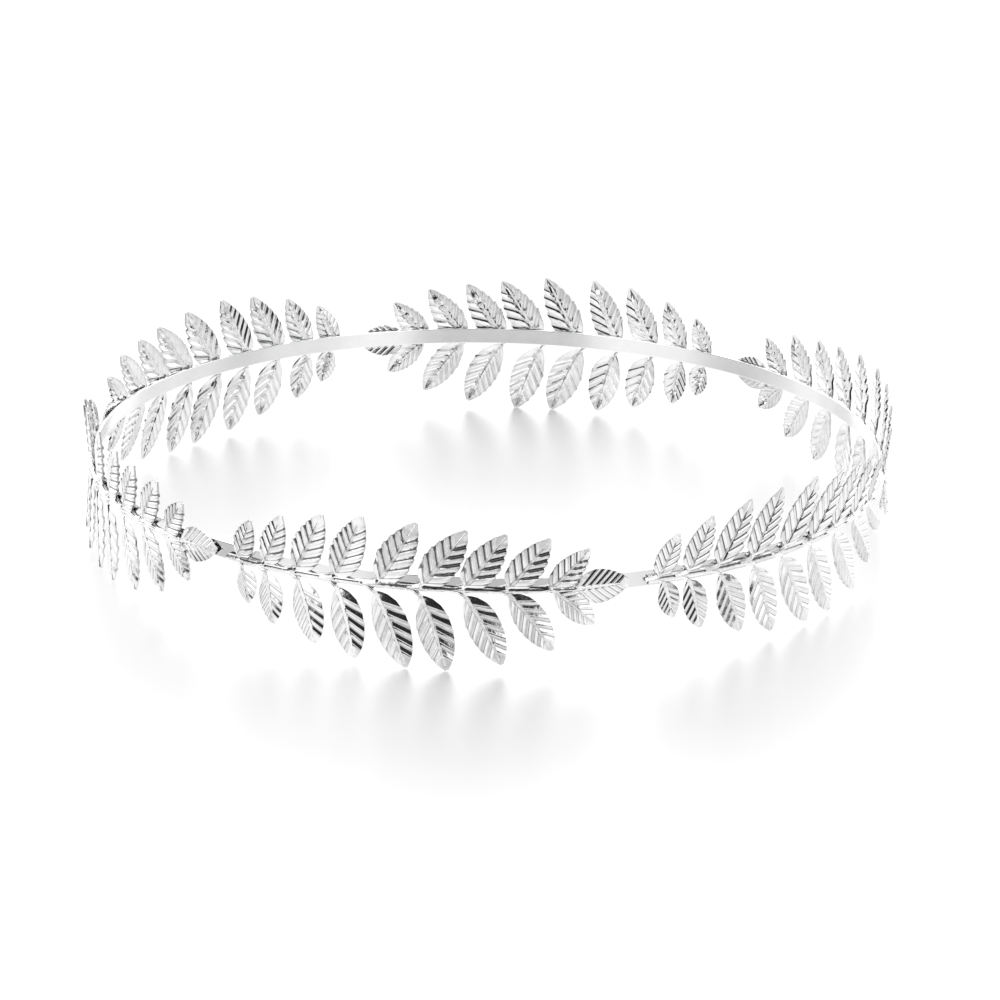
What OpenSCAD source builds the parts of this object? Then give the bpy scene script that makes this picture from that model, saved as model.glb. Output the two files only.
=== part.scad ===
// Laurel wreath crown: a closed flat band with six stamped leaf sprays on its outer face.
// Millimetres. The crown stands on the floor, z = 0, on the tips of its lower leaves.
// The Z axis is the band's own axis, and the middle of the front spray faces -Y.

/* [Band] */
// Inner radius of the band, where the head goes in
head_r = 87.7; // [82:0.1:94]
// Height of the band
band_h = 3.6; // [3:0.1:5]
// Thickness of the band
band_t = 0.8; // [0.6:0.05:1.2]
// Rounding of the band's edges
band_edge_r = 0.2; // [0.1:0.05:0.28]

/* [Stems] */
// Bare band between the tip of one spray and the foot of the next
spray_gap = 2.9; // [2:0.1:6]
// Gap for the solder between the band and the back of a spray
solder_gap = 0.06; // [0.05:0.01:0.12]
// Width of a stem at its foot
stem_foot_w = 1.5; // [1.2:0.05:1.9]
// Width of a stem where the end leaf begins
stem_tip_w = 0.8; // [0.6:0.05:1.1]
// Thickness of a stem from its back to its crest
stem_t = 0.95; // [0.8:0.05:1.3]
// Turn of the front spray's foot about the Z axis, in degrees
first_turn_deg = -128; // [-180:1:180]

/* [Leaves] */
// Length of the longest leaf, from the middle of the stem to the tip
leaf_l = 20; // [17:0.5:22]
// Width of the widest leaf
leaf_w = 7.6; // [6:0.1:8]
// Thickness of the sheet that the leaves are stamped from
sheet_t = 0.45; // [0.35:0.05:0.6]
// Depth of the pleats between the veins, at the edge of the leaf
pleat_d = 0.5; // [0.2:0.05:0.7]
// Rise of the midrib above the middle of the pleats
midrib_rise = 0.35; // [0.1:0.05:0.5]
// Width of a petiole
petiole_w = 0.9; // [0.7:0.05:1.1]
// Outward lean of the upper leaves, in degrees
upper_flare_deg = 6; // [0:0.5:12]
// Outward lean of the lower leaves, in degrees
lower_flare_deg = 3.8; // [0:0.2:8]

/* [Hidden] */

// One row for each spray, counter-clockwise from the front one:
// slip (degrees off even spacing), drop (stem below the band's middle, share of band_h)
SEATS = [
    [0.0, 0.25],
    [0.5, 0.10],
    [0.0, 0.25],
    [1.0, 0.30],
    [0.9, 0.20],
    [0.0, 0.25]
];
SLIP = 0;
DROP = 1;

// One row for each leaf, from the foot of the spray to its tip:
// place (share of spray_l), length (share of leaf_l), width (share of leaf_w),
// lean from the stem (degrees), veins on each side
UPPER_LEAVES = [
    [0.020, 0.55, 0.70, 65, 3],
    [0.097, 0.70, 0.80, 66, 3],
    [0.180, 0.84, 0.93, 62, 4],
    [0.281, 0.87, 0.96, 64, 4],
    [0.387, 0.90, 1.00, 58, 5],
    [0.490, 0.88, 1.00, 53, 5],
    [0.591, 0.82, 0.94, 54, 4],
    [0.693, 0.77, 0.92, 52, 4],
    [0.795, 0.64, 0.78, 47, 3]
];
LOWER_LEAVES = [
    [0.028, 0.47, 0.66, 70.0, 3],
    [0.092, 0.64, 0.77, 72.0, 3],
    [0.176, 0.81, 0.92, 66.0, 4],
    [0.276, 0.90, 0.92, 69.0, 4],
    [0.364, 1.00, 0.94, 61.0, 5],
    [0.475, 0.97, 0.90, 65.0, 5],
    [0.578, 0.95, 0.90, 57.0, 4],
    [0.681, 0.87, 0.85, 48.5, 4],
    [0.791, 0.65, 0.75, 37.0, 3]
];
END_LEAF = [0.860, 0.61, 1.00, 4, 3];
PLACE = 0;
LENGTH = 1;
WIDTH = 2;
LEAN = 3;
VEINS = 4;

// Share of a leaf that is petiole, and how far its midrib bows away from a straight line
upper_petiole_share = 0.12;
lower_petiole_share = 0.18;
upper_bow_share = 0.035;
lower_bow_share = 0.065;
// The blade's widest place is at base_swell / (base_swell + tip_swell) of its length
base_swell = 0.55;
tip_swell = 0.80;
// Where the midrib ends and the plain tip begins, and how fast the veins sweep forward
tip_start_share = 0.86;
vein_sweep = 1.5;
stem_rings = 18;

spray_count = len(SEATS);
band_r = head_r + band_t;
pitch_l = 2 * PI * band_r / spray_count;
spray_l = pitch_l - spray_gap;
stem_l = spray_l * (END_LEAF[PLACE] + 0.02);
sheet_n = solder_gap + sheet_t + pleat_d / 2;
leaf_depths = [for (leaf = LOWER_LEAVES) leaf[LENGTH] * leaf_l * sin(leaf[LEAN])];
seat_drops = [for (seat = SEATS) seat[DROP] * band_h];
band_z = max(leaf_depths) + max(seat_drops);

// Wraps a flat point, s along the band, h up and n outwards, onto the band's outer face
function wrap(s, h, n) =
    let (turn = s / band_r * 180 / PI)
    [(band_r + n) * cos(turn), (band_r + n) * sin(turn), h];

// Half width of a blade as a share of its greatest, q from 0 at its base to 1 at its tip
function swell(q) = pow(q, base_swell) * pow(1 - q, tip_swell);
function half_width(q) = swell(q) / swell(base_swell / (base_swell + tip_swell));

// Point beside the midrib: t along the leaf, side to its left, rise above the pleats
function leaf_point(leaf, bow, out, t, side, rise) =
    let (
        length = leaf[LENGTH] * leaf_l,
        lean = leaf[LEAN],
        along = length * t,
        right = bow * length * 4 * sqrt(t) * (1 - sqrt(t)) - side
    )
    wrap(
        leaf[PLACE] * spray_l + along * cos(lean) + right * sin(lean),
        along * sin(lean) - right * cos(lean),
        sheet_n + along * tan(out) + rise
    );

// Left edge, midrib and right edge of one row, on the front (down = 0) or the back
function row_points(leaf, bow, out, t_mid, t_edge, half, rise_mid, rise_edge, down) = [
    leaf_point(leaf, bow, out, t_edge, half, rise_edge - down),
    leaf_point(leaf, bow, out, t_mid, 0, rise_mid - down),
    leaf_point(leaf, bow, out, t_edge, -half, rise_edge - down)
];

// Rows of one leaf: the root in the stem, then one row for each fold of the pleats
function fold_row(leaf, bow, out, petiole, fold, down) =
    let (
        folds = 2 * leaf[VEINS],
        blade = 1 - petiole,
        share = fold / folds,
        q_edge = 1 - pow(1 - share, vein_sweep),
        full = half_width(q_edge),
        half = max(petiole_w / 2, full * leaf[WIDTH] * leaf_w / 2),
        lift = fold == 0 ? 0 : (fold % 2 == 1 ? 0.5 : -0.5) * pleat_d * full
    )
    row_points(leaf, bow, out, petiole + blade * tip_start_share * share, petiole + blade * q_edge,
        half, midrib_rise, lift, down);

function leaf_rows(leaf, bow, out, petiole, down) = concat(
    [row_points(leaf, bow, out, 0, 0, petiole_w / 2, 0, 0, down)],
    [for (fold = [0 : 2 * leaf[VEINS] - 1]) fold_row(leaf, bow, out, petiole, fold, down)]
);

// Each row holds three front points and three back points, numbered A, M, B
function strip_faces(row) =
    let (p = 6 * row, q = 6 * (row + 1))
    [
        [p + 1, p, q], [p + 1, q, q + 1],
        [p + 1, q + 1, q + 2], [p + 1, q + 2, p + 2],
        [p + 4, q + 3, p + 3], [p + 4, q + 4, q + 3],
        [p + 4, q + 5, q + 4], [p + 4, p + 5, q + 5],
        [p, p + 3, q + 3], [p, q + 3, q],
        [p + 5, p + 2, q + 2], [p + 5, q + 2, q + 5]
    ];

function root_faces() = [[3, 0, 1, 4], [4, 1, 2, 5]];

// The plain tip: the midrib's end and the point, each on the front and on the back
function tip_faces(row) =
    let (p = 6 * row, rib = 6 * (row + 1), rib_back = rib + 1, tip = rib + 2, tip_back = rib + 3)
    [
        [p + 1, p, rib], [p, tip, rib],
        [p + 1, rib, p + 2], [rib, tip, p + 2],
        [p + 4, rib_back, p + 3], [p + 3, rib_back, tip_back],
        [p + 4, p + 5, rib_back], [rib_back, p + 5, tip_back],
        [p, p + 3, tip_back], [p, tip_back, tip],
        [p + 5, p + 2, tip], [p + 5, tip, tip_back]
    ];

module leaf_blade(leaf, bow, out, petiole) {
    front = leaf_rows(leaf, bow, out, petiole, 0);
    back = leaf_rows(leaf, bow, out, petiole, sheet_t);
    last = len(front) - 1;
    rib_end = petiole + (1 - petiole) * tip_start_share;
    points = concat(
        [for (i = [0 : last]) for (point = concat(front[i], back[i])) point],
        [for (t = [rib_end, 1]) for (down = [0, sheet_t])
            leaf_point(leaf, bow, out, t, 0, (t < 1 ? midrib_rise / 2 : 0) - down)]
    );
    faces = concat(
        root_faces(),
        [for (i = [0 : last - 1]) for (face = strip_faces(i)) face],
        tip_faces(last)
    );
    polyhedron(points = points, faces = faces, convexity = 6);
}

// Half-round stem, six-sided, from the foot of the spray into the end leaf's petiole
function stem_section(i) =
    let (
        share = i / stem_rings,
        w = stem_foot_w + (stem_tip_w - stem_foot_w) * share,
        s = stem_l * share
    )
    [for (corner = [[-0.5, 0], [-0.5, 0.5], [-0.22, 1], [0.22, 1], [0.5, 0.5], [0.5, 0]])
        wrap(s, corner[0] * w, solder_gap + corner[1] * stem_t)];

module stem() {
    points = [for (i = [0 : stem_rings]) for (point = stem_section(i)) point];
    last = 6 * stem_rings;
    faces = concat(
        [[5, 4, 3, 2, 1, 0]],
        [for (i = [0 : stem_rings - 1]) for (j = [0 : 5])
            let (p = 6 * i, k = (j + 1) % 6)
            [p + j, p + k, p + 6 + k, p + 6 + j]],
        [[for (j = [0 : 5]) last + j]]
    );
    polyhedron(points = points, faces = faces, convexity = 4);
}

module spray(number) {
    seat = SEATS[number - 1];
    turn = first_turn_deg + (number - 1) * 360 / spray_count + seat[SLIP];
    color("silver")
    translate([0, 0, band_z - seat[DROP] * band_h])
    rotate([0, 0, turn])
    union() {
        stem();
        for (leaf = UPPER_LEAVES)
            leaf_blade(leaf, upper_bow_share, upper_flare_deg, upper_petiole_share);
        mirror([0, 0, 1])
        for (leaf = LOWER_LEAVES)
            leaf_blade(leaf, lower_bow_share, lower_flare_deg, lower_petiole_share);
        leaf_blade(END_LEAF, 0, upper_flare_deg, upper_petiole_share);
    }
}

module band_section() {
    translate([band_edge_r, 0])
    square([band_t - 2 * band_edge_r, band_h]);
    translate([0, band_edge_r])
    square([band_t, band_h - 2 * band_edge_r]);
    for (x = [band_edge_r, band_t - band_edge_r])
    for (y = [band_edge_r, band_h - band_edge_r])
    translate([x, y])
    circle(r = band_edge_r, $fn = 32);
}

module band() {
    color("gainsboro")
    translate([0, 0, band_z - band_h / 2])
    rotate_extrude($fn = 180)
    translate([head_r, 0])
    band_section();
}

band();
spray(1);  // spray_1
spray(2);  // spray_2
spray(3);  // spray_3
spray(4);  // spray_4
spray(5);  // spray_5
spray(6);  // spray_6
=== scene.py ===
from math import atan2, cos, hypot, pi, radians, sin, sqrt, tan
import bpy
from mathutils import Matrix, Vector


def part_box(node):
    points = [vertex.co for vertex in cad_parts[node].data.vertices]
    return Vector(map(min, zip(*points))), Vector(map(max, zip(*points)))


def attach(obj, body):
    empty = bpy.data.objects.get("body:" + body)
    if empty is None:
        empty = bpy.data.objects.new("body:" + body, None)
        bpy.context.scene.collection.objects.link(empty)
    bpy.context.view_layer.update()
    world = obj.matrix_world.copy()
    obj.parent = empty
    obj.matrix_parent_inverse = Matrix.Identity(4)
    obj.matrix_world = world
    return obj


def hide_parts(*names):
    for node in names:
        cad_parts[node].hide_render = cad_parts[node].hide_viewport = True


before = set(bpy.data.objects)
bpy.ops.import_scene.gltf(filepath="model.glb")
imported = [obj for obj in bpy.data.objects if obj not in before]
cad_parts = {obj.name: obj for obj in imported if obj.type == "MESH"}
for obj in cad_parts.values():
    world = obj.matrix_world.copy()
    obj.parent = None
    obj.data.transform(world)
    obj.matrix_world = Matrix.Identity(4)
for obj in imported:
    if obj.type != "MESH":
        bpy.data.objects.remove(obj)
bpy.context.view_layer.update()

from types import SimpleNamespace

import bmesh
import bpy
from mathutils import Matrix, Vector

# The band, as the frame has it
BAND_LOW, BAND_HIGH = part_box("band")
BAND_R = BAND_HIGH[0]
BAND_Z = (BAND_LOW[2] + BAND_HIGH[2]) / 2
BAND_H = BAND_HIGH[2] - BAND_LOW[2]

# Free length from one spray to the next, thickness of the solder, and the directions in which
# the feet of the front spray and of the pattern stand, in degrees from +X
SPRAY_GAP = 0.0029
SOLDER_GAP = 0.00006
FRONT_FOOT = -128
PATTERN_FOOT = -90

# Stem, and its section from its lower edge to its upper one, with a deep groove between the
# main ridge and the rod above it: share of the width, share of the thickness
STEM_FOOT_W = 0.0019
STEM_TIP_W = 0.0010
STEM_T = 0.00095
STEM_CUTS = 47
STEM_SECTION = [
    (-0.50, 0.25), (-0.47, 0.52), (-0.40, 0.76), (-0.18, 1.0), (-0.02, 0.98), (0.08, 0.50),
    (0.16, 0.50), (0.26, 0.86), (0.40, 0.80), (0.48, 0.55), (0.50, 0.25),
]
# Share of the thickness under which the middle of the section is the groove
STEM_GROOVE = 0.6
# How far the stem reaches under the end leaf, as a share of the spray
STEM_REACH = 0.02
# Width of the painted shade at the end of the stem's foot
FOOT_END = 0.00015

# Leaves: length and width of the largest, thickness of the sheet, room behind it for grooves
LEAF_L = 0.020
LEAF_W = 0.0076
SHEET_T = 0.00042
GROOVE_ROOM = 0.00024
# How far the edges bend back, and the share of it that is left at the tip
CAMBER = 0.00020
TIP_CAMBER = 0.3
# Share of the rib's width that is lost towards the tip, and of its height that the point keeps
RIB_TAPER = 0.55
POINT_RIB = 0.4
# Petiole: width, height, and shares of the height for its middle and for the fall to its edges
PETIOLE_W = 0.0012
PETIOLE_RISE = 0.00030
PETIOLE_MIDDLE = 1.1
PETIOLE_FALL = 1.2

# The three kinds of leaf: how far the tip leans out from the band in degrees, petiole and bow
# as shares of the length, how far back along the stem the petiole starts, exponents of the
# outline at base and tip, the part of the rib that has pleats, depth of a pleat as a share of
# its length on the rib, height of the rib among the pleats and at the tip, its width and that
# of its foot, how far ridges reach past the outline and grooves stay back, and how much shade
# is painted into a groove
UPPER = SimpleNamespace(
    flare=6, petiole=0.08, bow=0.035, back=0.0024, base=0.43, tip=0.78, pleats=(0.03, 0.81),
    relief=0.165, rib=-0.00010, rib_tip=0.00010, rib_w=0.00040,
    rib_foot=0.00100, step=0.035, dark=1)
LOWER = SimpleNamespace(
    flare=3.8, petiole=0.14, bow=-0.075, back=0.0010, base=0.58, tip=0.68, pleats=(0.04, 0.86),
    relief=0.116, rib=0.00016, rib_tip=0.00016, rib_w=0.00074,
    rib_foot=0.00090, step=0.006, dark=0.87)
END = SimpleNamespace(
    flare=1.5, petiole=0.06, bow=0, back=0, base=0.50, tip=0.80, pleats=(0.03, 0.82),
    relief=0.136, rib=0.00010, rib_tip=0.00012, rib_w=0.00045,
    rib_foot=0.00085, step=0.01, dark=0.9)

# Heights in a pleat, as shares of its depth
CREST = 0.5
FLANK = 0.32
GROOVE = -0.5
# Rows of one pleat: share of the pleat, height
PLEAT_ROWS = [
    (0.0, GROOVE), (0.34, 0.40), (0.42, FLANK), (0.56, CREST), (0.76, 0.40), (0.90, GROOVE),
]
# Angle between the veins and the rib, at the base and at the tip
VEIN_BASE = 47
VEIN_TIP = 38
# Plain rows at the base, placed along the blade, and at the tip, placed along what the pleats
# leave: place, angle, height. The pleats' angles lie between the two that have names
BASE_ANGLE = 60
TIP_ANGLE = 34
BASE_ROWS = [(0.0, 90, GROOVE), (0.01, 72, GROOVE), (0.02, BASE_ANGLE, GROOVE)]
TIP_ROWS = [(0.12, TIP_ANGLE, 0.1), (0.65, 18, 0.05)]
# Rows of the petiole along it, and the blade's last row, whose halves run on to the point
PETIOLE_ROWS = (0, 0.35, 0.7)
LAST_ROW = 0.96
# Columns from the rib to the edge, as shares of the vein. In rows with a vein, the first two,
# the rib and its foot, are then drawn in to their widths
COLUMNS = (0.1, 0.2, 0.15, 0.45, 0.75, 1.0)
RIB_COLUMN = 1
FOOT_COLUMN = 2
SIDE = len(COLUMNS)

# How much shade is painted on places, from BRIGHT and less for bright metal to 1 for the bottom
# of a fold: the flat rib of an upper leaf between grooves and at them, the outline, the front of
# a pleat by its height, the back and its folds
BRIGHT = 0.75
RIB_SHADE = 0.81
RIB_GROOVE_SHADE = 0.92
EDGE_SHADE = 0.91
PLEAT_SHADE = {FLANK: 0.81, CREST: 0.79}
BACK_SHADE = 0.76
BACK_FOLD_SHADE = 0.81

# One row for each spray, counter-clockwise from the front one:
# degrees off even spacing, drop of the stem below the band's middle (share of its height)
SEATS = [(0.0, 0.25), (0.5, 0.10), (0.0, 0.25), (1.0, 0.30), (0.9, 0.20), (0.0, 0.25)]

# One row for each leaf: place along the spray, length, width (shares), lean in degrees, pleats
UPPER_LEAVES = [
    (0.020, 0.55, 0.70, 65, 5),
    (0.097, 0.70, 0.80, 66, 5),
    (0.180, 0.84, 0.93, 62, 5),
    (0.281, 0.87, 0.96, 64, 6),
    (0.387, 0.90, 1.00, 58, 5),
    (0.490, 0.88, 1.00, 53, 5),
    (0.591, 0.82, 0.94, 54, 5),
    (0.693, 0.77, 0.92, 52, 5),
    (0.795, 0.64, 0.78, 47, 5),
]
LOWER_LEAVES = [
    (0.028, 0.47, 0.66, 70, 5),
    (0.092, 0.64, 0.77, 72, 5),
    (0.176, 0.81, 0.92, 66, 5),
    (0.276, 0.90, 0.96, 69, 5),
    (0.364, 1.00, 1.00, 61, 5),
    (0.475, 0.97, 0.97, 65, 5),
    (0.578, 0.95, 0.94, 57, 6),
    (0.681, 0.87, 0.88, 48.5, 6),
    (0.791, 0.65, 0.75, 37, 6),
]
END_LEAF = (0.860, 0.61, 1.00, 4, 6)

# Turn from one spray to the next in degrees, a spray's length, its stem's, and how high the
# fronts of the leaves lie over the band's outer face
SPRAY_TURN = 360 / len(SEATS)
SPRAY_L = 2 * pi * BAND_R / len(SEATS) - SPRAY_GAP
STEM_L = SPRAY_L * (END_LEAF[0] + STEM_REACH)
SHEET_RISE = SOLDER_GAP + SHEET_T + GROOVE_ROOM

# Faces that meet at less than this many degrees are shaded as one smooth surface
SMOOTH_BELOW = 20
# Distances under which points of a leaf become one, and points of the stem count as level
MERGE = 0.00002
LEVEL = 0.00001
# Step along the rib over which its slope is taken, as a share of the leaf
SLOPE_STEP = 0.01
# How often the search for a vein's end halves its stretch
HALVINGS = 40


def deselect_all():
    for obj in bpy.context.selected_objects:
        obj.select_set(False)
    bpy.context.view_layer.objects.active = None


def only(obj):
    """Selects one object alone, for the next operator to act on."""
    deselect_all()
    obj.select_set(True)
    bpy.context.view_layer.objects.active = obj


def modifier(obj, kind, **settings):
    """Adds a modifier and applies it at once."""
    only(obj)
    step = obj.modifiers.new(kind.lower(), kind)
    for name, value in settings.items():
        setattr(step, name, value)
    bpy.ops.object.modifier_apply(modifier=step.name)


def join(parts, name):
    """Makes one object of the parts."""
    deselect_all()
    for part in parts:
        part.select_set(True)
    bpy.context.view_layer.objects.active = parts[0]
    bpy.ops.object.join()
    parts[0].name = name
    parts[0].data.name = name
    return parts[0]


def pick(obj, wanted):
    """Selects the vertices whose numbers are wanted, in edit mode."""
    mesh = bmesh.from_edit_mesh(obj.data)
    for vert in mesh.verts:
        vert.select = vert.index in wanted
    mesh.select_flush(True)
    bmesh.update_edit_mesh(obj.data, loop_triangles=False, destructive=False)


def turn(angle, centre):
    """Turns what is selected about Z, counter-clockwise, angle in radians."""
    bpy.ops.transform.rotate(value=-angle, orient_axis="Z", center_override=centre)


def half_width(share, style):
    """Half width of a blade, as a share of its most: nothing at the base and at the tip."""
    widest = style.base / (style.base + style.tip)
    share = min(1, max(0, share))
    most = widest ** style.base * (1 - widest) ** style.tip
    return share ** style.base * (1 - share) ** style.tip / most


def on_blade(share, style):
    """A place on the whole leaf as a share of its blade alone."""
    return (share - style.petiole) / (1 - style.petiole)


def edge_place(rib, angle, blade, half, style):
    """Share of the blade at which a vein from the rib, at that angle, meets the outline."""
    low = rib
    high = 1
    for _ in range(HALVINGS):
        middle = (low + high) / 2
        if (middle - rib) * blade * tan(radians(angle)) < half_width(middle, style) * half:
            low = middle
        else:
            high = middle
    return low


def leaf_rows(style, pleats):
    """Rows of a leaf from root to tip: place on the rib, angle of the vein, height.

    The petiole's rows have no angle, and the last row's angle is 0.
    """
    petiole = style.petiole
    blade = 1 - petiole
    first, last = style.pleats
    rows = [(petiole * share, None, 0) for share in PETIOLE_ROWS]
    rows += [(petiole + blade * rib, angle, height) for rib, angle, height in BASE_ROWS]
    for pleat in range(pleats):
        # The last pleat runs out into the tip, so no groove follows it
        pleat_rows = PLEAT_ROWS if pleat < pleats - 1 else PLEAT_ROWS[:-1]
        for share, height in pleat_rows:
            along = (pleat + share) / pleats
            angle = VEIN_BASE + (VEIN_TIP - VEIN_BASE) * along
            rows.append((petiole + blade * (first + (last - first) * along), angle, height))
    for share, angle, height in TIP_ROWS:
        rows.append((petiole + blade * (last + (1 - last) * share), angle, height))
    rows.append((petiole + blade * LAST_ROW, 0, 0))
    return rows


def rib_point(size, style, share):
    """Place of the midrib: it bows to one side, and leaves the stem almost along it."""
    side = style.bow * size.length * 4 * sqrt(share) * (1 - sqrt(share))
    back = style.back * max(0, 1 - share / style.petiole) ** 2
    return (side - back * sin(size.lean), size.length * share - back * cos(size.lean))


def leaf_grid(rows):
    """A flat grid with a line for each row: the object, its points' numbers and Y by line."""
    bpy.ops.mesh.primitive_grid_add(
        x_subdivisions=2 * SIDE, y_subdivisions=len(rows) - 1, size=2, enter_editmode=False)
    obj = bpy.context.object
    verts = sorted(obj.data.vertices, key=lambda vert: (round(vert.co.y, 4), vert.co.x))
    across = 2 * SIDE + 1
    lines = [verts[i * across:(i + 1) * across] for i in range(len(rows))]
    numbers = [[vert.index for vert in line] for line in lines]
    return obj, numbers, [line[0].co.y for line in lines]


def mark_painted_shade(obj, numbers, rows, style):
    """Writes how much shade is painted on each place, on the front and on the back."""
    fold = obj.data.attributes.new("fold", "FLOAT", "POINT")
    behind = obj.data.attributes.new("behind", "FLOAT", "POINT")
    for line, (_, angle, height) in zip(numbers, rows):
        pleated = angle and TIP_ANGLE < angle < BASE_ANGLE
        for j, number in enumerate(line):
            column = abs(j - SIDE)
            if pleated and height < 0 and column > RIB_COLUMN:
                value = style.dark
            elif pleated and style.rib < 0 and column <= FOOT_COLUMN:
                value = RIB_GROOVE_SHADE if height < 0 else RIB_SHADE
            elif column == SIDE and angle:
                value = EDGE_SHADE * style.dark
            elif pleated and column > FOOT_COLUMN:
                value = PLEAT_SHADE.get(height, 0)
            else:
                value = 0
            fold.data[number].value = value
            back_fold = (pleated and height == CREST) or column in (0, SIDE)
            behind.data[number].value = BACK_FOLD_SHADE if back_fold else BACK_SHADE


def spread_columns(obj, numbers):
    """Moves the columns to their places along the veins."""
    for k, share in enumerate(COLUMNS, start=1):
        pick(obj, {line[SIDE + side * k] for line in numbers for side in (-1, 1)})
        bpy.ops.transform.resize(value=(share * SIDE / k, 1, 1), center_override=(0, 0, 0))


def relief_at(column, angle, height, style, depth):
    """Height of a place on the petiole, the rib, the groove beside it, a pleat or the edge."""
    if angle is None:
        return PETIOLE_RISE * (PETIOLE_MIDDLE - PETIOLE_FALL * (column / SIDE) ** 2)
    if column <= RIB_COLUMN:
        return style.rib if angle > TIP_ANGLE else style.rib_tip * (1 if angle else POINT_RIB)
    if column == FOOT_COLUMN:
        return -depth / 2 if angle else 0
    camber = CAMBER if angle > TIP_ANGLE else CAMBER * TIP_CAMBER
    return height * depth - camber * COLUMNS[column - 1] ** 2


def raise_relief(obj, numbers, rows, style, depth):
    """Moves every place to its height, all that share a height at once."""
    levels = {}
    for line, (_, angle, height) in zip(numbers, rows):
        for j, number in enumerate(line):
            rise = relief_at(abs(j - SIDE), angle, height, style, depth)
            levels.setdefault(round(rise, 6), set()).add(number)
    for rise, chosen in levels.items():
        pick(obj, chosen)
        bpy.ops.transform.translate(value=(0, 0, rise))


def vein(row, style, size):
    """Length of a row's halves, and how far they swing forward from straight across."""
    share, angle, height = row
    if angle is None:
        return PETIOLE_W / 2, 0
    if angle == 0:
        return size.length * (1 - share), pi / 2
    rib = on_blade(share, style)
    edge = edge_place(rib, angle, size.blade, size.half, style)
    out = max(PETIOLE_W / 2, half_width(edge, style) * size.half)
    length = hypot(out, (edge - rib) * size.blade) * (1 + 2 * height * style.step)
    return length, pi / 2 - radians(angle)


def lay_row(obj, line, flat_y, row, style, size):
    """Moves a row to its place on the rib and swings its halves forward, as veins do."""
    share, angle, _ = row
    x, y = rib_point(size, style, share)
    near = rib_point(size, style, max(0, share - SLOPE_STEP))
    far = rib_point(size, style, min(1, share + SLOPE_STEP))
    slope = atan2(far[1] - near[1], far[0] - near[0]) - pi / 2
    pick(obj, set(line))
    bpy.ops.transform.translate(value=(x, y - flat_y, 0))
    length, swing = vein(row, style, size)
    taper = 1 - RIB_TAPER * on_blade(share, style)
    for side in (1, -1):
        half_line = {line[SIDE + side * k] for k in range(1, SIDE + 1)}
        pick(obj, half_line)
        bpy.ops.transform.resize(value=(length, 1, 1), center_override=(x, y, 0))
        if angle:
            for k, width in ((RIB_COLUMN, style.rib_w), (FOOT_COLUMN, style.rib_foot)):
                want = width * taper / 2 / cos(swing)
                pick(obj, {line[SIDE + side * k]})
                bpy.ops.transform.resize(
                    value=(want / (length * COLUMNS[k - 1]), 1, 1), center_override=(x, y, 0))
            pick(obj, half_line)
        turn(side * swing + slope, (x, y, 0))


def leaf(row, style, below):
    """One stamped leaf, pleated between its veins, with its midrib and petiole."""
    place, length_share, width_share, lean_degrees, pleats = row
    length = length_share * LEAF_L
    size = SimpleNamespace(
        length=length, blade=length * (1 - style.petiole), half=width_share * LEAF_W / 2,
        lean=radians(-lean_degrees if below else lean_degrees))
    depth = style.relief * size.blade * (style.pleats[1] - style.pleats[0]) / pleats
    rows = leaf_rows(style, pleats)
    obj, numbers, flat = leaf_grid(rows)
    mark_painted_shade(obj, numbers, rows, style)
    bpy.ops.object.mode_set(mode="EDIT")
    spread_columns(obj, numbers)
    raise_relief(obj, numbers, rows, style, depth)
    for line, flat_y, leaf_row in zip(numbers, flat, rows):
        lay_row(obj, line, flat_y, leaf_row, style, size)

    # The tip's last row is one line on the rib, so its two halves are one
    bpy.ops.mesh.select_all(action="SELECT")
    bpy.ops.mesh.remove_doubles(threshold=MERGE)
    bpy.ops.object.mode_set(mode="OBJECT")
    return obj, place, size.lean, style.flare


def place_leaf(obj, place, lean, flare):
    """Leans a leaf out and away from the stem, and moves it to its place along the spray."""
    tilt = Matrix.Rotation(radians(flare), 4, "X")
    swing = Matrix.Rotation(lean - pi / 2, 4, "Z")
    move = Matrix.Translation((place * SPRAY_L, 0, SHEET_RISE))
    obj.matrix_world = move @ swing @ tilt
    only(obj)
    bpy.ops.object.transform_apply(location=True, rotation=True, scale=True)
    return obj


def leaves():
    """All leaves of a spray as one sheet. The points of its back come after those of its front."""
    made = [leaf(row, UPPER, False) for row in UPPER_LEAVES]
    made += [leaf(row, LOWER, True) for row in LOWER_LEAVES]
    made.append(leaf(END_LEAF, END, False))
    sheet = join([place_leaf(*each) for each in made], "leaves")
    front = len(sheet.data.vertices)
    modifier(sheet, "SOLIDIFY", thickness=SHEET_T, offset=-1, use_even_offset=False)
    # The back's points take the shade painted for the back
    fold = sheet.data.attributes["fold"].data
    behind = sheet.data.attributes["behind"].data
    for number in range(front, len(fold)):
        fold[number].value = behind[number].value
    sheet.data.attributes.remove(sheet.data.attributes["behind"])
    return sheet


def cut(obj, test, cuts):
    """Divides the edges that pass the test, in edit mode."""
    mesh = bmesh.from_edit_mesh(obj.data)
    for edge in mesh.edges:
        edge.select = test(edge.verts[0].co, edge.verts[1].co)
    bmesh.update_edit_mesh(obj.data)
    bpy.ops.mesh.subdivide(number_cuts=cuts)


def found(obj, test):
    """Numbers of the vertices that pass the test, in edit mode."""
    return {vert.index for vert in bmesh.from_edit_mesh(obj.data).verts if test(vert.co)}


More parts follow.
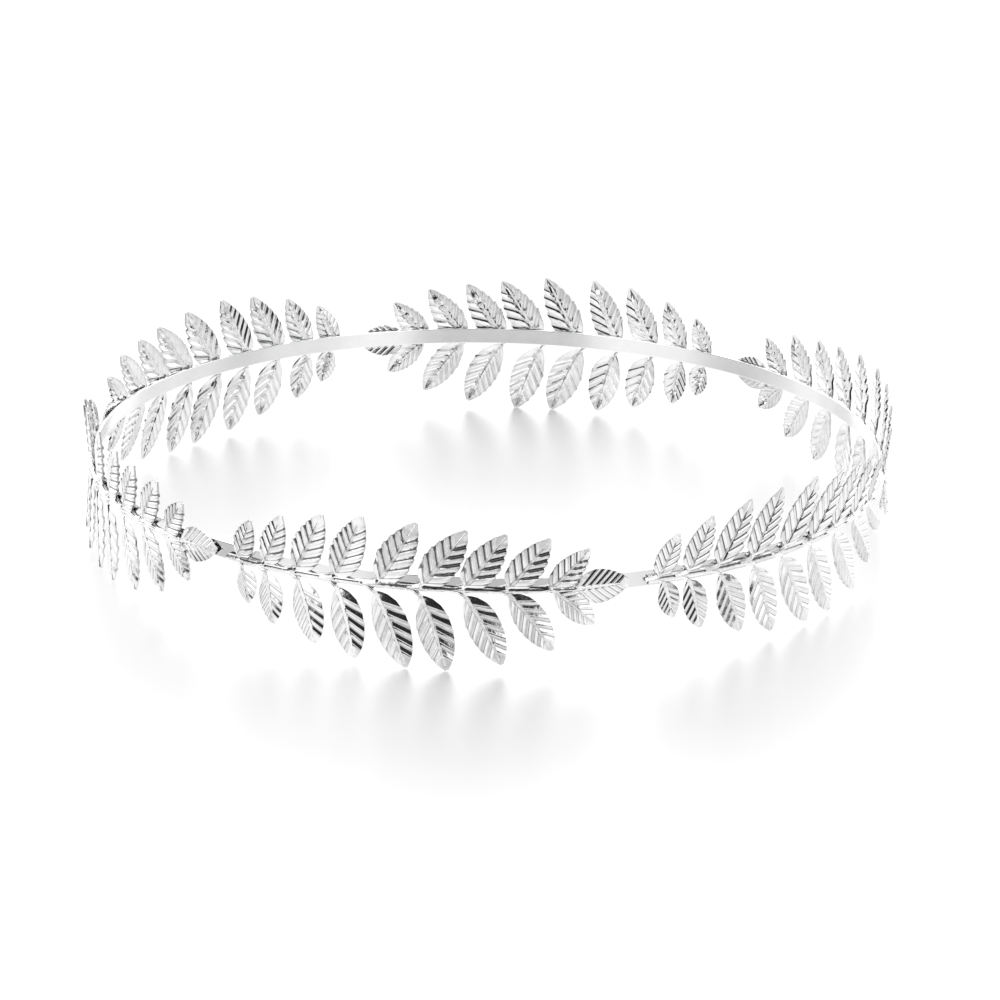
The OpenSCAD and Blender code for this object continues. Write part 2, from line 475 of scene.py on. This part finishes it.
def stem():
    """Stem with a ridge, a groove and a rod along it, narrowing to the end leaf."""
    bpy.ops.mesh.primitive_cube_add(size=1, location=(0, 0, 0))
    obj = bpy.context.object
    obj.scale = (STEM_L, STEM_FOOT_W, STEM_T)
    obj.location = (STEM_L / 2, 0, SOLDER_GAP + STEM_T / 2)
    bpy.ops.object.transform_apply(location=True, rotation=True, scale=True)
    bpy.ops.object.mode_set(mode="EDIT")
    bpy.ops.mesh.select_mode(type="EDGE")

    # The top is cut into strips, whose edges then go to their places on the section
    top = SOLDER_GAP + STEM_T
    steps = len(STEM_SECTION) - 1
    cut(obj,
        lambda a, b: abs(a.y - b.y) > STEM_FOOT_W / 2 and min(a.z, b.z) > top - LEVEL,
        steps - 1)
    cut(obj, lambda a, b: abs(a.x - b.x) > STEM_L / 2, STEM_CUTS)
    bpy.ops.mesh.select_mode(type="VERT")
    edges = [STEM_FOOT_W * (k / steps - 0.5) for k in range(steps + 1)]
    lines = [
        found(obj, lambda co: co.z > top - LEVEL and abs(co.y - there) < LEVEL) for there in edges]
    for there, line, (aside, height) in zip(edges, lines, STEM_SECTION):
        pick(obj, line)
        bpy.ops.transform.translate(value=(
            0, aside * STEM_FOOT_W - there, SOLDER_GAP + height * STEM_T - top))

    # It narrows ring by ring, and its second ring goes next to the foot, to bound the painted
    # shade at its end
    rings = sorted({round(vert.co.x, 5) for vert in bmesh.from_edit_mesh(obj.data).verts})
    for ring in rings:
        narrow = 1 + (STEM_TIP_W / STEM_FOOT_W - 1) * ring / STEM_L
        pick(obj, found(obj, lambda co: abs(co.x - ring) < LEVEL))
        bpy.ops.transform.resize(value=(1, narrow, 1), center_override=(0, 0, 0))
    pick(obj, found(obj, lambda co: abs(co.x - rings[1]) < LEVEL))
    bpy.ops.transform.translate(value=(FOOT_END - rings[1], 0, 0))
    bpy.ops.object.mode_set(mode="OBJECT")

    # Painted shade in the groove and on the foot's end
    fold = obj.data.attributes.new("fold", "FLOAT", "POINT")
    groove = [line for line, (_, height) in zip(lines, STEM_SECTION) if height < STEM_GROOVE]
    for number in set().union(*groove):
        if abs(obj.data.vertices[number].co.y) < STEM_FOOT_W / 4:
            fold.data[number].value = 1
    for vert in obj.data.vertices:
        if vert.co.x < FOOT_END / 2:
            fold.data[vert.index].value = 1
    return obj


def wrap_round(obj):
    """Stands the flat spray up and bends it round the band's outer face."""
    obj.rotation_euler = (pi / 2, 0, 0)
    only(obj)
    bpy.ops.object.transform_apply(location=False, rotation=True, scale=False)
    places = [vert.co.x for vert in obj.data.vertices]
    modifier(obj, "SIMPLE_DEFORM", deform_method="BEND", deform_axis="Z",
             angle=(max(places) - min(places)) / BAND_R)
    for vert in obj.data.vertices:
        vert.co.y -= BAND_R


def sprays():
    """Six sprays from one: each copy has its own mesh and its own seat on the band."""
    pattern = join([leaves(), stem()], "pattern")
    bpy.ops.object.shade_smooth_by_angle(angle=radians(SMOOTH_BELOW))
    wrap_round(pattern)
    made = []
    for number, (slip, drop) in enumerate(SEATS, start=1):
        only(pattern)
        bpy.ops.object.duplicate(linked=False)
        copy = bpy.context.object
        copy.name = f"laurel_spray_{number}"
        copy.data.name = copy.name
        foot = FRONT_FOOT + (number - 1) * SPRAY_TURN + slip
        copy.rotation_euler = (0, 0, radians(foot - PATTERN_FOOT))
        copy.location = (0, 0, BAND_Z - drop * BAND_H)
        bpy.ops.object.transform_apply(location=True, rotation=True, scale=False)
        made.append(copy)
    bpy.data.objects.remove(pattern)
    return made


# Plating: bright silver, and the colour of the shade painted into folds, grooves, edges and the
# band's outer face
SILVER = (0.96, 0.96, 0.965)
PAINTED_SHADE_COLOUR = (0.15, 0.15, 0.16, 1)
# Soft clouds in the plating: size, detail, the values between which they go from dark to
# bright, and the factors by which they change the roughness
CLOUD_SCALE = 260
CLOUD_DETAIL = 4
CLOUD_FROM = 0.35
CLOUD_TO = 0.65
CLOUD_GLOSS = (0.8, 1.25)
# Fine grain in the surface
GRAIN_SCALE = 750
GRAIN_DETAIL = 2
# Depths under the band's outer face between which painted shade comes in, from none to full
OUTER_FROM = 0.0003
OUTER_TO = 0.0001
# Colour sockets of a Mix node: the first colour, the second, and the mixed one
MIX_A = 6
MIX_B = 7
MIXED = 2


def new_material(name):
    """An empty material with its shader."""
    material = bpy.data.materials.new(name)
    material.use_nodes = True
    nodes = material.node_tree.nodes
    nodes.clear()
    shader = nodes.new("ShaderNodeBsdfPrincipled")
    output = nodes.new("ShaderNodeOutputMaterial")
    material.node_tree.links.new(shader.outputs["BSDF"], output.inputs["Surface"])
    return material, nodes, material.node_tree.links, shader


def silver_tint(nodes, links, cloud, cloudy):
    """Silver, darker by up to cloudy where the clouds are dark."""
    tint = nodes.new("ShaderNodeValToRGB")
    tint.color_ramp.elements[0].position = CLOUD_FROM
    tint.color_ramp.elements[0].color = (*[channel - cloudy for channel in SILVER], 1)
    tint.color_ramp.elements[1].position = CLOUD_TO
    tint.color_ramp.elements[1].color = (*SILVER, 1)
    links.new(cloud.outputs["Fac"], tint.inputs["Fac"])
    return tint.outputs["Color"]


def darkened(nodes, links, colour, share):
    """A colour that goes over to the painted shade colour, as far as the share says."""
    mix = nodes.new("ShaderNodeMix")
    mix.data_type = "RGBA"
    mix.inputs[MIX_B].default_value = PAINTED_SHADE_COLOUR
    links.new(share, mix.inputs["Factor"])
    links.new(colour, mix.inputs[MIX_A])
    return mix.outputs[MIXED]


def fold_share(nodes, links):
    """How much shade is painted on a place, from what is written on the mesh's points."""
    fold = nodes.new("ShaderNodeAttribute")
    fold.attribute_name = "fold"
    depth = nodes.new("ShaderNodeMapRange")
    depth.inputs["From Min"].default_value = BRIGHT
    depth.inputs["From Max"].default_value = 1.0
    links.new(fold.outputs["Fac"], depth.inputs["Value"])
    return depth.outputs["Result"]


def outer_shade_share(nodes, links, place, outer_shade):
    """How much shade is painted on the outer face: it is darkened between the sprays and behind
    them.
    """
    level = nodes.new("ShaderNodeMapping")
    level.inputs["Scale"].default_value = (1, 1, 0)
    links.new(place.outputs["Object"], level.inputs["Vector"])
    radius = nodes.new("ShaderNodeVectorMath")
    radius.operation = "LENGTH"
    links.new(level.outputs["Vector"], radius.inputs[0])
    outer = nodes.new("ShaderNodeMapRange")
    outer.inputs["From Min"].default_value = BAND_R - OUTER_FROM
    outer.inputs["From Max"].default_value = BAND_R - OUTER_TO
    outer.inputs["To Max"].default_value = outer_shade
    links.new(radius.outputs["Value"], outer.inputs["Value"])
    return outer.outputs["Result"]


def fine_grain(nodes, links, place, stretch, bump):
    """Grain in the surface: how its size is scaled along each axis, and its depth in metres."""
    grain_map = nodes.new("ShaderNodeMapping")
    grain_map.inputs["Scale"].default_value = stretch
    links.new(place.outputs["Object"], grain_map.inputs["Vector"])
    grain = nodes.new("ShaderNodeTexNoise")
    grain.inputs["Scale"].default_value = GRAIN_SCALE
    grain.inputs["Detail"].default_value = GRAIN_DETAIL
    links.new(grain_map.outputs["Vector"], grain.inputs["Vector"])
    relief = nodes.new("ShaderNodeBump")
    relief.inputs["Distance"].default_value = bump
    links.new(grain.outputs["Fac"], relief.inputs["Height"])
    return relief.outputs["Normal"]


def plated_metal(name, stretch, roughness, bump, outer_shade, cloudy):
    """Silver plating with grain and clouds, and painted shade in folds and on the outer face."""
    material, nodes, links, shader = new_material(name)
    shader.inputs["Metallic"].default_value = 1
    place = nodes.new("ShaderNodeTexCoord")
    cloud = nodes.new("ShaderNodeTexNoise")
    cloud.inputs["Scale"].default_value = CLOUD_SCALE
    cloud.inputs["Detail"].default_value = CLOUD_DETAIL
    links.new(place.outputs["Object"], cloud.inputs["Vector"])

    silver = silver_tint(nodes, links, cloud, cloudy)
    folded = darkened(nodes, links, silver, fold_share(nodes, links))
    colour = darkened(nodes, links, folded, outer_shade_share(nodes, links, place, outer_shade))
    links.new(colour, shader.inputs["Base Color"])

    gloss = nodes.new("ShaderNodeMapRange")
    gloss.inputs["To Min"].default_value = roughness * CLOUD_GLOSS[0]
    gloss.inputs["To Max"].default_value = roughness * CLOUD_GLOSS[1]
    links.new(cloud.outputs["Fac"], gloss.inputs["Value"])
    links.new(gloss.outputs["Result"], shader.inputs["Roughness"])
    links.new(fine_grain(nodes, links, place, stretch, bump), shader.inputs["Normal"])
    return material


def set_ramp(ramp, stops):
    """Gives a ramp its stops, each a place and a grey."""
    while len(ramp.elements) > 1:
        ramp.elements.remove(ramp.elements[-1])
    for number, (place, grey) in enumerate(stops):
        stop = ramp.elements[0] if number == 0 else ramp.elements.new(place)
        stop.position = place
        stop.color = (grey, grey, grey, 1)


def give(obj, material):
    """Gives an object one material, in place of those that it has."""
    obj.data.materials.clear()
    obj.data.materials.append(material)


# Camera, at the photograph's place and angle, in metres and degrees. It aims a little below the
# band's middle and to the right of it, and is rolled
CAMERA_ELEVATION = 18.52
CAMERA_DISTANCE = 1.2421
CAMERA_LENS = 198.7
CAMERA_SENSOR = 36
CAMERA_PITCH = 0.495
CAMERA_YAW = 0.137
CAMERA_ROLL = 0.933
# Nearest and farthest distance that it sees
CAMERA_NEAR = 0.01
CAMERA_FAR = 50


def camera():
    """Stands the camera in front of the crown, and makes it the scene's."""
    data = bpy.data.cameras.new("camera")
    data.lens = CAMERA_LENS
    data.sensor_width = CAMERA_SENSOR
    data.clip_start = CAMERA_NEAR
    data.clip_end = CAMERA_FAR
    obj = bpy.data.objects.new("camera", data)
    bpy.context.collection.objects.link(obj)
    up_angle = radians(CAMERA_ELEVATION)
    look_down = radians(CAMERA_ELEVATION + CAMERA_PITCH)
    yaw = radians(CAMERA_YAW)
    ahead = Vector((sin(yaw) * cos(look_down), cos(yaw) * cos(look_down), -sin(look_down)))
    right = ahead.cross(Vector((0, 0, 1))).normalized()
    above = right.cross(ahead)
    axes = Matrix((right, above, -ahead)).transposed()
    roll = Matrix.Rotation(radians(CAMERA_ROLL), 3, "Z")
    obj.matrix_world = Matrix.LocRotScale(
        Vector((0, -CAMERA_DISTANCE * cos(up_angle), BAND_Z + CAMERA_DISTANCE * sin(up_angle))),
        (axes @ roll).to_quaternion(), None)
    bpy.context.scene.camera = obj


# Floor: its size, how far its middle lies behind the crown's, its light and its polish
FLOOR_SIZE = 6
FLOOR_BACK = 0.8
FLOOR_WHITE = 1.08
FLOOR_ROUGHNESS = 0.38
# How much of the room the floor mirrors, by how flat it is seen: 0 is from straight above
FLOOR_GLOSS = [
    (0.50, 0.06), (0.58, 0.50), (0.68, 0.50), (0.70, 0.68), (0.72, 0.68), (0.78, 0.12),
    (0.83, 0.12), (0.89, 0.50),
]


def floor():
    """A white glossy floor: how much it mirrors the room depends on how flat it is seen."""
    bpy.ops.mesh.primitive_plane_add(size=FLOOR_SIZE, location=(0, FLOOR_BACK, 0))
    obj = bpy.context.object
    obj.name = "floor"
    bpy.ops.object.transform_apply(location=True, rotation=True, scale=True)
    material = bpy.data.materials.new("floor_gloss")
    material.use_nodes = True
    nodes = material.node_tree.nodes
    links = material.node_tree.links
    nodes.clear()
    white = nodes.new("ShaderNodeEmission")
    white.inputs["Color"].default_value = (1, 1, 1, 1)
    white.inputs["Strength"].default_value = FLOOR_WHITE
    gloss = nodes.new("ShaderNodeBsdfGlossy")
    gloss.inputs["Roughness"].default_value = FLOOR_ROUGHNESS
    facing = nodes.new("ShaderNodeLayerWeight")
    facing.inputs["Blend"].default_value = 0.5
    share = nodes.new("ShaderNodeValToRGB")
    set_ramp(share.color_ramp, FLOOR_GLOSS)
    mix = nodes.new("ShaderNodeMixShader")
    output = nodes.new("ShaderNodeOutputMaterial")
    links.new(facing.outputs["Facing"], share.inputs["Fac"])
    links.new(share.outputs["Color"], mix.inputs["Fac"])
    links.new(white.outputs["Emission"], mix.inputs[1])
    links.new(gloss.outputs["BSDF"], mix.inputs[2])
    links.new(mix.outputs["Shader"], output.inputs["Surface"])
    give(obj, material)


# Light of the room by direction, as (degrees from the camera's side, positive to the right, light)
ROOM = [
    (-180, 1.55), (-125, 1.5), (-100, 1.3), (-91, 0.4), (-84, 0.03), (-72, 0.03), (-62, 1.35),
    (-34, 1.35), (-27, 0.02), (20, 0.02), (27, 1.35), (41, 1.35), (49, 0.75), (69, 0.75),
    (76, 0.15), (83, 0.15), (90, 0.95), (108, 1.05), (125, 1.5), (180, 1.55),
]
# Turn that puts the middle of the room's gradient on the camera's side, in degrees
ROOM_TURN = 90
# Light of the ceiling, and the heights between which the walls give way to it, as sines
CEILING = 1.2
CEILING_FROM = 0.68
CEILING_TO = 0.88


def studio():
    """A bright room all round, with the darker zones that a polished metal needs."""
    world = bpy.data.worlds.new("studio")
    bpy.context.scene.world = world
    world.use_nodes = True
    nodes = world.node_tree.nodes
    links = world.node_tree.links
    place = nodes.new("ShaderNodeTexCoord")
    aside = nodes.new("ShaderNodeMapping")
    aside.inputs["Rotation"].default_value = (0, 0, radians(ROOM_TURN))
    round_room = nodes.new("ShaderNodeTexGradient")
    round_room.gradient_type = "RADIAL"
    links.new(place.outputs["Generated"], aside.inputs["Vector"])
    links.new(aside.outputs["Vector"], round_room.inputs["Vector"])
    walls = nodes.new("ShaderNodeValToRGB")
    set_ramp(walls.color_ramp, [((angle + 180) / 360, light) for angle, light in ROOM])
    links.new(round_room.outputs["Fac"], walls.inputs["Fac"])
    height = nodes.new("ShaderNodeSeparateXYZ")
    links.new(place.outputs["Generated"], height.inputs["Vector"])
    rise = nodes.new("ShaderNodeMapRange")
    rise.interpolation_type = "SMOOTHSTEP"
    rise.inputs["From Min"].default_value = CEILING_FROM
    rise.inputs["From Max"].default_value = CEILING_TO
    links.new(height.outputs["Z"], rise.inputs["Value"])
    mix = nodes.new("ShaderNodeMix")
    mix.data_type = "RGBA"
    links.new(rise.outputs["Result"], mix.inputs["Factor"])
    links.new(walls.outputs["Color"], mix.inputs[MIX_A])
    mix.inputs[MIX_B].default_value = (CEILING, CEILING, CEILING, 1)
    links.new(mix.outputs[MIXED], nodes["Background"].inputs["Color"])


deselect_all()
camera()
floor()
studio()

# The band's outer face gets a share of painted shade
band_metal = plated_metal(
    "plated_band", stretch=(1, 1, 14), roughness=0.10, bump=0.000005, outer_shade=0.12, cloudy=0.03)
leaf_metal = plated_metal(
    "plated_leaves", stretch=(1, 1, 1), roughness=0.14, bump=0.00006, outer_shade=0, cloudy=0.10)
for node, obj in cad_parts.items():
    give(obj, band_metal if node == "band" else leaf_metal)

for number, piece in enumerate(sprays(), start=1):
    give(piece, leaf_metal)
    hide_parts(f"spray_{number}")
    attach(piece, "root")

bpy.context.scene.view_settings.view_transform = "Standard"
